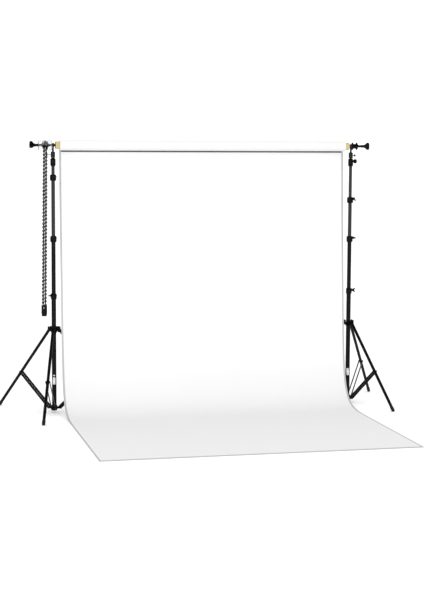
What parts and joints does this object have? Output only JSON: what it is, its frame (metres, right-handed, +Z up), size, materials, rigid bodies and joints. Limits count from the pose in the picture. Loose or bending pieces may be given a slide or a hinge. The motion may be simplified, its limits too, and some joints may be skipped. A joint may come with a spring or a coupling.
{
  "type": "background support system",
  "caption": "Free-standing background support: tripod stands with sliding tubes and hooks carry a chain-driven roll of wide paper that hangs down and sweeps forward over the floor.",
  "frame": {"origin": "on the floor, at the middle of the footprint of the whole assembly, paper included", "axes": "+X along the roll from the chain side to the plain side, +Y away from the paper's front edge, +Z up"},
  "size_m": [3.7312, 2.7644, 2.5075],
  "materials": {
    "stand_tube": "black satin lacquer on tube",
    "leg_tube": "black satin lacquer on tube",
    "flat_bar": "black satin lacquer",
    "moulding": "fine-grained black glass-filled moulding",
    "knob": "black moulding, slight sheen",
    "hook_casting": "black powder coat",
    "screw": "black zinc",
    "holder": "black moulding",
    "grip": "matte rubber",
    "cardboard": "spiral-wound kraft board",
    "paper": "matt white seamless paper",
    "clear_cover": "clear moulding",
    "chain": "dark grey moulded links"
  },
  "bodies": {
    "root": {"left_base_tube": "stand_tube", "left_base_clamp": "moulding", "left_brace_hub": "moulding", "right_base_tube": "stand_tube", "right_base_clamp": "moulding", "right_brace_hub": "moulding", "paper_sweep": "paper", "paper_drop": "paper"},
    "left_base_knob": {"left_base_knob": "knob"},
    "left_leg_collar": {"left_leg_collar": "moulding"},
    "left_leg_knob": {"left_leg_knob": "knob"},
    "left_leg_1": {"left_leg_1": "leg_tube"},
    "left_brace_1": {"left_brace_1": "flat_bar"},
    "left_leg_2": {"left_leg_2": "leg_tube"},
    "left_brace_2": {"left_brace_2": "flat_bar"},
    "left_leg_3": {"left_leg_3": "leg_tube"},
    "left_brace_3": {"left_brace_3": "flat_bar"},
    "left_riser_1": {"left_riser_1": "stand_tube", "left_clamp_1": "moulding"},
    "left_knob_1": {"left_knob_1": "knob"},
    "left_riser_2": {"left_riser_2": "stand_tube", "left_clamp_2": "moulding"},
    "left_knob_2": {"left_knob_2": "knob"},
    "left_riser_3": {"left_riser_3": "stand_tube", "left_top_fitting": "moulding", "left_hook": "hook_casting", "drive_chain": "chain", "chain_weight": "moulding", "chain_guard": "clear_cover"},
    "left_top_knob": {"left_top_knob": "knob"},
    "left_hook_screw": {"left_hook_screw": "screw"},
    "right_base_knob": {"right_base_knob": "knob"},
    "right_leg_collar": {"right_leg_collar": "moulding"},
    "right_leg_knob": {"right_leg_knob": "knob"},
    "right_leg_1": {"right_leg_1": "leg_tube"},
    "right_brace_1": {"right_brace_1": "flat_bar"},
    "right_leg_2": {"right_leg_2": "leg_tube"},
    "right_brace_2": {"right_brace_2": "flat_bar"},
    "right_leg_3": {"right_leg_3": "leg_tube"},
    "right_brace_3": {"right_brace_3": "flat_bar"},
    "right_riser_1": {"right_riser_1": "stand_tube", "right_clamp_1": "moulding"},
    "right_knob_1": {"right_knob_1": "knob"},
    "right_riser_2": {"right_riser_2": "stand_tube", "right_clamp_2": "moulding"},
    "right_knob_2": {"right_knob_2": "knob"},
    "right_riser_3": {"right_riser_3": "stand_tube", "right_top_fitting": "moulding", "right_hook": "hook_casting"},
    "right_top_knob": {"right_top_knob": "knob"},
    "right_hook_screw": {"right_hook_screw": "screw"},
    "roll": {"cardboard_core": "cardboard", "paper_roll": "paper", "left_holder_shaft": "holder", "left_chain_wheel": "holder", "right_holder_shaft": "holder", "right_wheel": "holder", "grip_fingers": "grip"},
    "left_holder_knob": {"left_holder_knob": "knob"},
    "right_holder_knob": {"right_holder_knob": "knob"}
  },
  "joints": [
    {"name": "left_base_knob_turn", "type": "hinge", "parent": "root", "child": "left_base_knob", "pos_m": [-1.42179, 0.81949, 1.088], "axis": [-0.7071, -0.7071, 0], "range_deg": [-180, 0]},
    {"name": "left_leg_collar_slide", "type": "slide", "parent": "root", "child": "left_leg_collar", "axis": [0, 0, 1], "range_m": [0, 0.27]},
    {"name": "left_leg_knob_turn", "type": "hinge", "parent": "left_leg_collar", "child": "left_leg_knob", "pos_m": [-1.36561, 0.8191, 0.766], "axis": [0.6972, -0.7169, 0], "range_deg": [-180, 0]},
    {"name": "left_leg_1_fold", "type": "hinge", "parent": "left_leg_collar", "child": "left_leg_1", "pos_m": [-1.42697, 0.88219, 0.775], "axis": [-0.7169, -0.6972, 0], "range_deg": [-0.5, 38.64]},
    {"name": "left_brace_1_fold", "type": "hinge", "parent": "root", "child": "left_brace_1", "pos_m": [-1.43185, 0.88721, 0.042], "axis": [-0.7169, -0.6972, 0], "range_deg": [-48.97, 0.5]},
    {"name": "left_leg_2_fold", "type": "hinge", "parent": "left_leg_collar", "child": "left_leg_2", "pos_m": [-1.40657, 0.80159, 0.775], "axis": [0.9622, -0.2723, 0], "range_deg": [-0.5, 38.64]},
    {"name": "left_brace_2_fold", "type": "hinge", "parent": "root", "child": "left_brace_2", "pos_m": [-1.40848, 0.79485, 0.042], "axis": [0.9622, -0.2723, 0], "range_deg": [-48.97, 0.5]},
    {"name": "left_leg_3_fold", "type": "hinge", "parent": "left_leg_collar", "child": "left_leg_3", "pos_m": [-1.34697, 0.85955, 0.775], "axis": [-0.2453, 0.9694, 0], "range_deg": [-0.5, 38.64]},
    {"name": "left_brace_3_fold", "type": "hinge", "parent": "root", "child": "left_brace_3", "pos_m": [-1.34018, 0.86127, 0.042], "axis": [-0.2453, 0.9694, 0], "range_deg": [-48.97, 0.5]},
    {"name": "left_riser_1_slide", "type": "slide", "parent": "root", "child": "left_riser_1", "axis": [0, 0, 1], "range_m": [-0.44, 0.32], "deforming": ["paper_drop"]},
    {"name": "left_knob_1_turn", "type": "hinge", "parent": "left_riser_1", "child": "left_knob_1", "pos_m": [-1.39907, 0.80816, 1.617], "axis": [-0.1392, -0.9903, 0], "range_deg": [-180, 0]},
    {"name": "left_riser_2_slide", "type": "slide", "parent": "left_riser_1", "child": "left_riser_2", "axis": [0, 0, 1], "range_m": [-0.31, 0.28]},
    {"name": "left_knob_2_turn", "type": "hinge", "parent": "left_riser_2", "child": "left_knob_2", "pos_m": [-1.39907, 0.80816, 2.177], "axis": [-0.1392, -0.9903, 0], "range_deg": [-180, 0]},
    {"name": "left_riser_3_slide", "type": "slide", "parent": "left_riser_2", "child": "left_riser_3", "axis": [0, 0, 1], "range_m": [-0.07, 0.49]},
    {"name": "left_top_knob_turn", "type": "hinge", "parent": "left_riser_3", "child": "left_top_knob", "pos_m": [-1.39699, 0.80793, 2.318], "axis": [-0.0872, -0.9962, 0], "range_deg": [-180, 0]},
    {"name": "left_hook_screw_turn", "type": "hinge", "parent": "left_riser_3", "child": "left_hook_screw", "pos_m": [-1.4335, 0.84777, 2.373], "axis": [-1, 0, 0], "range_deg": [-180, 0]},
    {"name": "right_base_knob_turn", "type": "hinge", "parent": "root", "child": "right_base_knob", "pos_m": [1.48675, 0.83087, 1.088], "axis": [0.9063, -0.4226, 0], "range_deg": [-180, 0]},
    {"name": "right_leg_collar_slide", "type": "slide", "parent": "root", "child": "right_leg_collar", "axis": [0, 0, 1], "range_m": [0, 0.27]},
    {"name": "right_leg_knob_turn", "type": "hinge", "parent": "right_leg_collar", "child": "right_leg_knob", "pos_m": [1.42609, 0.81608, 0.766], "axis": [-0.6101, -0.7923, 0], "range_deg": [-180, 0]},
    {"name": "right_leg_1_fold", "type": "hinge", "parent": "right_leg_collar", "child": "right_leg_1", "pos_m": [1.46879, 0.8034, 0.775], "axis": [0.9245, 0.3811, 0], "range_deg": [-0.5, 38.64]},
    {"name": "right_brace_1_fold", "type": "hinge", "parent": "root", "child": "right_brace_1", "pos_m": [1.47146, 0.79692, 0.042], "axis": [0.9245, 0.3811, 0], "range_deg": [-48.97, 0.5]},
    {"name": "right_leg_2_fold", "type": "hinge", "parent": "right_leg_collar", "child": "right_leg_2", "pos_m": [1.47979, 0.8858, 0.775], "axis": [-0.7923, 0.6101, 0], "range_deg": [-0.5, 38.64]},
    {"name": "right_brace_2_fold", "type": "hinge", "parent": "root", "child": "right_brace_2", "pos_m": [1.48406, 0.89135, 0.042], "axis": [-0.7923, 0.6101, 0], "range_deg": [-48.97, 0.5]},
    {"name": "right_leg_3_fold", "type": "hinge", "parent": "right_leg_collar", "child": "right_leg_3", "pos_m": [1.40292, 0.85412, 0.775], "axis": [-0.1323, -0.9912, 0], "range_deg": [-0.5, 38.64]},
    {"name": "right_brace_3_fold", "type": "hinge", "parent": "root", "child": "right_brace_3", "pos_m": [1.39598, 0.85505, 0.042], "axis": [-0.1323, -0.9912, 0], "range_deg": [-48.97, 0.5]},
    {"name": "right_riser_1_slide", "type": "slide", "parent": "root", "child": "right_riser_1", "axis": [0, 0, 1], "range_m": [-0.44, 0.32]},
    {"name": "right_knob_1_turn", "type": "hinge", "parent": "right_riser_1", "child": "right_knob_1", "pos_m": [1.4905, 0.84777, 1.588], "axis": [1, 0, 0], "range_deg": [-180, 0]},
    {"name": "right_riser_2_slide", "type": "slide", "parent": "right_riser_1", "child": "right_riser_2", "axis": [0, 0, 1], "range_m": [-0.31, 0.28]},
    {"name": "right_knob_2_turn", "type": "hinge", "parent": "right_riser_2", "child": "right_knob_2", "pos_m": [1.47344, 0.81501, 1.961], "axis": [0.5736, -0.8192, 0], "range_deg": [-180, 0]},
    {"name": "right_riser_3_slide", "type": "slide", "parent": "right_riser_2", "child": "right_riser_3", "axis": [0, 0, 1], "range_m": [-0.07, 0.49]},
    {"name": "right_top_knob_turn", "type": "hinge", "parent": "right_riser_3", "child": "right_top_knob", "pos_m": [1.4905, 0.84777, 2.318], "axis": [1, 0, 0], "range_deg": [-180, 0]},
    {"name": "right_hook_screw_turn", "type": "hinge", "parent": "right_riser_3", "child": "right_hook_screw", "pos_m": [1.4905, 0.84777, 2.373], "axis": [1, 0, 0], "range_deg": [-180, 0]},
    {"name": "roll_spin", "type": "hinge", "parent": "left_riser_3", "child": "roll", "pos_m": [-1.3935, 0.84777, 2.46], "axis": [1, 0, 0], "continuous": true},
    {"name": "left_holder_knob_turn", "type": "hinge", "parent": "roll", "child": "left_holder_knob", "pos_m": [-1.5635, 0.84777, 2.46], "axis": [-1, 0, 0], "range_deg": [-360, 0]},
    {"name": "right_holder_knob_turn", "type": "hinge", "parent": "roll", "child": "right_holder_knob", "pos_m": [1.5865, 0.84777, 2.46], "axis": [1, 0, 0], "range_deg": [-360, 0]}
  ],
  "couplings": [
    {"joint": "left_leg_1_fold", "follows": "left_leg_collar_slide", "rad_per_m": 2.4655},
    {"joint": "left_brace_1_fold", "follows": "left_leg_collar_slide", "rad_per_m": -3.1333},
    {"joint": "left_leg_2_fold", "follows": "left_leg_collar_slide", "rad_per_m": 2.4655},
    {"joint": "left_brace_2_fold", "follows": "left_leg_collar_slide", "rad_per_m": -3.1333},
    {"joint": "left_leg_3_fold", "follows": "left_leg_collar_slide", "rad_per_m": 2.4655},
    {"joint": "left_brace_3_fold", "follows": "left_leg_collar_slide", "rad_per_m": -3.1333},
    {"joint": "right_leg_1_fold", "follows": "right_leg_collar_slide", "rad_per_m": 2.4655},
    {"joint": "right_brace_1_fold", "follows": "right_leg_collar_slide", "rad_per_m": -3.1333},
    {"joint": "right_leg_2_fold", "follows": "right_leg_collar_slide", "rad_per_m": 2.4655},
    {"joint": "right_brace_2_fold", "follows": "right_leg_collar_slide", "rad_per_m": -3.1333},
    {"joint": "right_leg_3_fold", "follows": "right_leg_collar_slide", "rad_per_m": 2.4655},
    {"joint": "right_brace_3_fold", "follows": "right_leg_collar_slide", "rad_per_m": -3.1333},
    {"joint": "right_riser_1_slide", "follows": "left_riser_1_slide", "ratio": 1},
    {"joint": "right_riser_2_slide", "follows": "left_riser_2_slide", "ratio": 1},
    {"joint": "right_riser_3_slide", "follows": "left_riser_3_slide", "ratio": 1}
  ]
}
